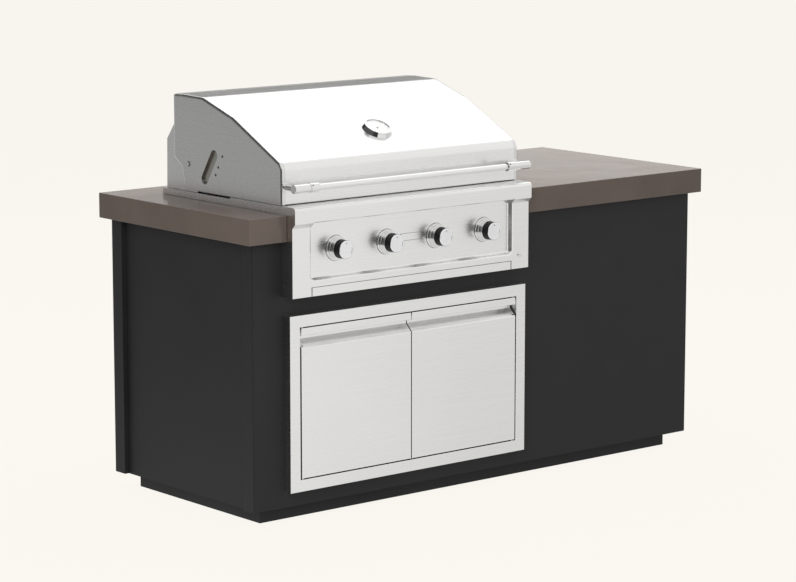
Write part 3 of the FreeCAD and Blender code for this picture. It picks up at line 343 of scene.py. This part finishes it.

# %% [markdown]
# Each node of the construction model gets one of these finishes in its material slot.
# The grain of a brushed sheet follows its long side: left to right on the fronts, and
# front to back on the lid's two ends, whose steel is also a little darker: painted shade.

# %% Finishes of the construction model's pieces
finish_of = {
    concrete: "countertop",
    black_coat: "left_side_panel right_side_panel front_panel rear_panel rear_posts plinth "
                "cabinet_floor partition",
    grey_coat: "frame_posts top_rails grill_supports leveling_feet gas_manifold",
    steel_front: "door_frame left_door_skin right_door_skin left_door_liner right_door_liner "
                 "front_ledge control_panel drip_tray_front lid_skin lid_liner firebox rear_housing "
                 "drip_tray tray_runners heat_plates burners handle_tube handle_brackets "
                 "name_plate base_flanges",
    steel_side_painted_shade: "lid_left_side lid_right_side",
    steel_polished: "door_hinge_pins panel_screws lid_pivot_pins handle_sleeves "
                    "cooking_grates warming_rack igniter_button",
    knob_face_and_painted_dark_side: "knob_1 knob_2 knob_3 knob_4",
    chrome: "knob_bezels gauge_case",
    brass: "valve_bodies valve_stem_1 valve_stem_2 valve_stem_3 valve_stem_4",
    black_plastic: "door_catches button_switch",
    dial_enamel: "gauge_dial",
    black_paint_and_shade: "gauge_needle",
    lens_glass: "gauge_lens",
}
for finish, names in finish_of.items():
    for name in names.split():
        mesh = nodes[name].data
        mesh.materials.clear()
        mesh.materials.append(finish)
print("finishes given:", sum(len(names.split()) for names in finish_of.values()))

# %% [markdown]
# The construction model holds every piece that fits or moves. What is left is the small
# work that a finisher adds: marks, sockets, gaskets and lines. Each is a bmesh that
# starts from a ready shape, is given its place by a matrix, and then rides on the body
# that carries it. A thin disc and a thin bar are all the shapes that are needed.

# %% Helpers for new pieces
disc_taper = 0.96


def shown(name, built, finish):
    """Turns a bmesh into an object at the origin with one finish."""
    mesh = bpy.data.meshes.new(name)
    built.to_mesh(mesh)
    built.free()
    mesh.materials.append(finish)
    made = bpy.data.objects.new(name, mesh)
    bpy.context.scene.collection.objects.link(made)
    return made


def frame_at(place, normal, up=(0, 0, 1)):
    """A matrix whose Z looks along normal and whose Y leans towards up."""
    z = Vector(normal).normalized()
    x = Vector(up).cross(z).normalized()
    turn = Matrix((x, z.cross(x), z)).transposed().to_4x4()
    return Matrix.Translation(place) @ turn


def disc(built, radius, thick, place, segments=32):
    """A thin turned disc whose back lies in the place's XY plane, a little smaller in front."""
    bmesh.ops.create_cone(built, cap_ends=True, segments=segments, radius1=radius,
                          radius2=radius * disc_taper, depth=thick,
                          matrix=place @ Matrix.Translation((0, 0, thick / 2)))


def bar(built, size_mm, place):
    """A block of three sizes whose middle stands at the place."""
    size = Matrix.Diagonal(tuple(v * MM for v in size_mm) + (1,))
    bmesh.ops.create_cube(built, size=1.0, matrix=place @ size)


front = frame_at((0, 0, 0), (0, -1, 0))
print("a place on the front looks along:", tuple(round(v, 1) for v in front.col[2][:3]))

# %% [markdown]
# A knob needs a mark, or nobody can tell off from full. Here it is a small dot of black
# paint near the top of the face, which is a shallow dish. It is drawn on each knob where
# the knob stands when the gas is off, so it turns and pushes with it.

# %% Index dots on the knobs
dot_radius_mm = 1.4
dot_up_mm = 18.2
dot_thick_mm = 0.25
dish_deep_mm = 0.8

for i in range(1, 5):
    low, high = low_high("knob_%d" % i)
    face = Vector(((low.x + high.x) / 2, low.y + dish_deep_mm * MM, (low.z + high.z) / 2))
    built = bmesh.new()
    disc(built, dot_radius_mm * MM, dot_thick_mm * MM,
         frame_at(face + Vector((0, 0, dot_up_mm * MM)), (0, -1, 0)))
    dot = shown("knob_index_dot_%d" % i, built, black_paint_and_shade)
    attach(dot, "knob_%d" % i)
print("index dots:", i)

# %% [markdown]
# The bezel behind each knob is a stepped ring. It presses a thin rubber gasket against
# the panel to keep rain out, and the gasket's dark edge draws a fine line round it: painted shade where the
# bezel meets the panel.

# %% Gaskets behind the bezels, dark as painted shade
bezel_low, bezel_high = low_high("knob_bezels")
bezel_radius = (bezel_high.z - bezel_low.z) / 2
gasket_past_mm = 0.9
gasket_thick_mm = 1.0
gasket_segments = 64

for i in range(1, 5):
    low, high = low_high("knob_%d" % i)
    back = Vector(((low.x + high.x) / 2, bezel_high.y, (low.z + high.z) / 2))
    built = bmesh.new()
    disc(built, bezel_radius + gasket_past_mm * MM, gasket_thick_mm * MM,
         frame_at(back, (0, -1, 0)), gasket_segments)
    gasket = shown("bezel_gasket_painted_shade_%d" % i, built, gasket_rubber_and_painted_shade)
    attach(gasket, "island")
print("gaskets:", i, "of radius, mm:", round(bezel_radius / MM + gasket_past_mm, 1))

# %% [markdown]
# Each end of the lid's handle is a turned sleeve that is clamped to the tube by one set
# screw. The screw sits down in its hole, and its hexagonal socket is a black disc with six
# sides, sunk a little below the collar's surface: the black screw, and painted shade for
# its hollow socket.

# %% Set screws in the handle
socket_radius_mm = 2.3
socket_sides = 6
socket_thick_mm = 0.5
socket_sunk_mm = 0.9
socket_left_mm = 64.0
socket_right_mm = 84.0
socket_tilt = 38.0
collar_radius_mm = 13.8

sleeve_low, sleeve_high = low_high("handle_sleeves")
axis_y = (sleeve_low.y + sleeve_high.y) / 2
axis_z = (sleeve_low.z + sleeve_high.z) / 2
lean = Vector((0, -math.cos(math.radians(socket_tilt)), math.sin(math.radians(socket_tilt))))
socket_x = {"left": sleeve_low.x + socket_left_mm * MM, "right": sleeve_high.x - socket_right_mm * MM}
for side, x in socket_x.items():
    built = bmesh.new()
    place = frame_at(Vector((x, axis_y, axis_z)) + lean * (collar_radius_mm - socket_sunk_mm) * MM, lean)
    disc(built, socket_radius_mm * MM, socket_thick_mm * MM, place, socket_sides)
    screw = shown("handle_set_screw_painted_shade_" + side, built, black_paint_and_shade)
    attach(screw, "lid")
print("set screws in the handle:", len(socket_x))

# %% [markdown]
# The slot in the lid's end lets a spit through. Behind it stands a cover plate on two
# feet, just past the slot's folded rim, so the slot reads as a shadowed groove with a
# lit floor. Three thin bars make it, laid along the line between the slot's two ends,
# which are given as depth and height in the island's own frame.

# %% Cover plate behind the spit slot
slot_top = Vector((-7.1, 1069.1)) * MM
slot_foot = Vector((57.8, 967.9)) * MM
cover_in_mm = 8.6
cover_wide_mm = 46.0
cover_past_mm = 14.0
cover_thick_mm = 1.2
foot_from_mm = 1.8


def spit_cover():
    built = bmesh.new()
    middle = (slot_top + slot_foot) / 2
    run = slot_foot - slot_top
    outside = low_high("lid_left_side")[0].x
    turn = frame_at(Vector((outside, middle.x, middle.y)), (1, 0, 0), (0, run.x, run.y))
    long = run.length / MM + 2 * cover_past_mm
    foot_high = cover_in_mm - foot_from_mm
    bar(built, (cover_wide_mm, long, cover_thick_mm), turn @ Matrix.Translation((0, 0, cover_in_mm * MM)))
    for end in (-1, 1):
        there = (0, end * (long - cover_thick_mm) / 2 * MM, (foot_from_mm + foot_high / 2) * MM)
        bar(built, (cover_wide_mm, cover_thick_mm, foot_high), turn @ Matrix.Translation(there))
    return built


# The plate's steel is a darker, warmer grey than the lid's.
cover = shown("spit_slot_cover", spit_cover(), darker_warm_steel)
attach(cover, "lid")
print("cover plate, faces:", len(cover.data.polygons))

# %% [markdown]
# The plate between two knobs is left blank. What a plate-maker would still engrave is a
# fine line round its edge, filled with black paint: four thin bars just proud of the face.

# %% Border of the blank plate
line_mm = 0.9
line_in_mm = 1.2
line_proud_mm = 0.15

plate_low, plate_high = low_high("name_plate")
built = bmesh.new()
middle = (plate_low + plate_high) / 2
half_x = (plate_high.x - plate_low.x) / 2 - line_in_mm * MM
half_z = (plate_high.z - plate_low.z) / 2 - line_in_mm * MM
face_y = plate_low.y - line_proud_mm * MM / 2
for side in (-1, 1):
    level = Matrix.Translation((middle.x, face_y, middle.z + side * half_z))
    bar(built, (2 * half_x / MM, line_proud_mm, line_mm), level)
    upright = Matrix.Translation((middle.x + side * half_x, face_y, middle.z))
    bar(built, (line_mm, line_proud_mm, 2 * half_z / MM - line_mm), upright)
border = shown("name_plate_border", built, black_paint_and_shade)
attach(border, "island")
print("border, mm:", round(2 * half_x / MM, 1), "by", round(2 * half_z / MM, 1))

# %% [markdown]
# The thermometer's dial has no numbers, only a ring of pale ticks that the needle turns
# past. They are small bars laid round the dial's centre, in the plane of the sloping face.

# %% Ticks on the thermometer
tick_count = 11
tick_ring_mm = 30.0
tick_size_mm = (1.0, 4.5, 0.15)
tick_lift_mm = 0.6
tick_span = 270.0

dial_low, dial_high = low_high("gauge_dial")
dial_centre = (dial_low + dial_high) / 2
dial_tilt = math.atan2(dial_high.z - dial_low.z, dial_high.y - dial_low.y)
dial_out = Vector((0, -math.sin(dial_tilt), math.cos(dial_tilt)))
dial_top = Vector((0, math.cos(dial_tilt), math.sin(dial_tilt)))
dial = frame_at(dial_centre + dial_out * tick_lift_mm * MM, dial_out, dial_top)
built = bmesh.new()
for i in range(tick_count):
    turn = Matrix.Rotation(math.radians(tick_span / 2 - tick_span * i / (tick_count - 1)), 4, "Z")
    bar(built, tick_size_mm, dial @ turn @ Matrix.Translation((0, tick_ring_mm * MM, 0)))
ticks = shown("gauge_ticks", built, tick_ink)
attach(ticks, "lid")
print("ticks on the dial:", tick_count)

# %% [markdown]
# The studio's floor is seamless paper. To the camera it glows in one warm white, and the
# light that really falls on it is added, so the island still stands in a faint shadow.
# To a mirror it glows too, and dims from the front left corner towards the island, as
# the paper does under a lamp. Everything else sees a plain grey floor that is lit.

# %% Floor
paper_colour = "#faf7f1"
paper_strength = 0.975
shaded_colour = "#2e2d2c"
lit_colour = "#a3a19d"
mirrored_colour = "#f9f8f6"
mirrored_dim = 0.78
dim_from_m = -1.4
dim_to_m = -0.2
dim_depth_share = 0.85
floor_half_m = 30


def studio_floor():
    made, tree = material("studio_floor")
    rays = add(tree, "LightPath")
    place = add(tree, "SeparateXYZ", {0: add(tree, "TexCoord").outputs["Object"]})
    along = add(tree, "Math", {0: place.outputs["Y"], 1: dim_depth_share, 2: place.outputs["X"]},
                operation="MULTIPLY_ADD")
    falloff = add(tree, "MapRange", {"Value": along, "From Min": dim_from_m, "From Max": dim_to_m,
                                     "To Min": 1.0, "To Max": mirrored_dim})
    glow = add(tree, "Emission", {"Color": linear(mirrored_colour), "Strength": falloff})
    paper = add(tree, "Emission", {"Color": linear(paper_colour), "Strength": paper_strength})
    shaded = add(tree, "BsdfDiffuse", {"Color": linear(shaded_colour)})
    seen = add(tree, "AddShader", {0: paper, 1: shaded})
    lit = add(tree, "BsdfDiffuse", {"Color": linear(lit_colour)})
    mirrored = add(tree, "MixShader", {0: rays.outputs["Is Glossy Ray"], 1: lit, 2: glow})
    through = add(tree, "MixShader", {0: rays.outputs["Is Transmission Ray"], 1: mirrored, 2: glow})
    shader = add(tree, "MixShader", {0: rays.outputs["Is Camera Ray"], 1: through, 2: seen})
    add(tree, "OutputMaterial", {"Surface": shader})
    built = bmesh.new()
    bmesh.ops.create_grid(built, x_segments=1, y_segments=1, size=floor_half_m)
    shown("floor", built, made)


studio_floor()
print("floor, m across:", 2 * floor_half_m)

# %% [markdown]
# The world is the rest of the paper. The camera, a mirror and glass see it in the same
# warm white as the floor, and every other ray gets only a weak white fill from it, so
# the lamps below still give the island its light and shade.

# %% World
fill_strength = 0.16


def studio_world():
    world = bpy.data.worlds.new("studio")
    world.use_nodes = True
    tree = world.node_tree
    tree.nodes.clear()
    rays = add(tree, "LightPath")
    seen = add(tree, "Background", {"Color": linear(mirrored_colour), "Strength": 1.0})
    fill = add(tree, "Background", {"Color": (1, 1, 1, 1), "Strength": fill_strength})
    mirror = add(tree, "Math", {0: rays.outputs["Is Glossy Ray"], 1: rays.outputs["Is Transmission Ray"]},
                 operation="MAXIMUM")
    direct = add(tree, "Math", {0: rays.outputs["Is Camera Ray"], 1: mirror}, operation="MAXIMUM")
    mixed = add(tree, "MixShader", {0: direct, 1: fill, 2: seen})
    add(tree, "OutputWorld", {"Surface": mixed})
    bpy.context.scene.world = world


studio_world()
print("world fill:", fill_strength)

# %% [markdown]
# Steel shows what stands around it more than the light that falls on it. In an all
# white studio it would look like paper, so a photographer hangs flags: grey and dark
# cards at the left, above left and behind, and a white one overhead, which only the
# metal's reflections pick up. They give the lid's end its grey and every bend a line.
# The knobs' black crescents are a painted dark reflection in their finish. Places and
# sizes are in metres.

# %% Reflection cards


def card(name, place, aim, width, height, colour, strength=1.0):
    made, tree = material("card_" + name)
    glow = add(tree, "Emission", {"Color": linear(colour), "Strength": strength})
    add(tree, "OutputMaterial", {"Surface": glow})
    built = bmesh.new()
    bmesh.ops.create_grid(built, x_segments=1, y_segments=1, size=0.5)
    turn = (Vector(aim) - Vector(place)).to_track_quat("Z", "Y").to_matrix().to_4x4()
    size = Matrix.Diagonal((width, height, 1, 1))
    bmesh.ops.transform(built, matrix=Matrix.Translation(place) @ turn @ size, verts=built.verts)
    held = shown("card_" + name, built, made)
    held.visible_camera = False
    held.visible_diffuse = False
    held.visible_shadow = False


card("left_grey", (-1.7, 1.4, 0.46), (0, 1.4, 0.46), 3.4, 1.52, "#a5a5a4")
card("left_dark", (-1.75, 1.0, 2.25), (0, 1.0, 2.25), 4.2, 2.1, "#5c5c5c")
card("left_corner_dark", (-1.8, -0.8, 0.9), (0, -0.8, 0.9), 1.0, 2.0, "#5a5a5a")
card("front_left_black", (-2.0, -1.7, 1.0), (-0.6, 0, 0.9), 2.0, 2.4, "#3a3a3a")
card("upper_left_dark", (-2.0, 0.6, 2.9), (-0.3, 0, 1.1), 2.6, 3.4, "#141414")
card("rear_left_dark", (-1.2, 1.9, 2.6), (-0.7, 0.2, 1.2), 1.4, 1.2, "#262626")
card("rear_grey", (1.1, 1.9, 1.85), (-0.3, 0.2, 1.85), 3.0, 0.9, "#5e5d5b")
card("overhead_white", (2.4, 2.2, 4.2), (2.4, 2.2, 0.0), 6.0, 4.0, "#ffffff", 1.6)

# %% [markdown]
# Two large soft boxes give the island its form. The one overhead lights the counter and
# every face that looks up. The one at the front left lifts the body's end and its front.
# Mirrors don't show them, because the cards and the world already stand in for that.

# %% Lamps


def soft_box(name, place, aim, width, height, watts):
    lamp = bpy.data.lights.new(name, "AREA")
    lamp.shape = "RECTANGLE"
    lamp.size = width
    lamp.size_y = height
    lamp.energy = watts
    held = bpy.data.objects.new(name, lamp)
    held.location = place
    held.rotation_euler = (Vector(aim) - Vector(place)).to_track_quat("-Z", "Y").to_euler()
    held.visible_glossy = False
    bpy.context.scene.collection.objects.link(held)
    print("lamp:", name, watts, "W")


soft_box("box_overhead", (1.2, 1.0, 4.2), (0.6, 0.4, 0.8), 7.0, 6.0, 320)
soft_box("box_left", (-3.6, -3.0, 2.2), (-0.8, 0, 0.6), 3.0, 3.0, 140)

# %% [markdown]
# The last cell sets the view transform to Standard.

# %% View transform
bpy.context.scene.view_settings.view_transform = "Standard"
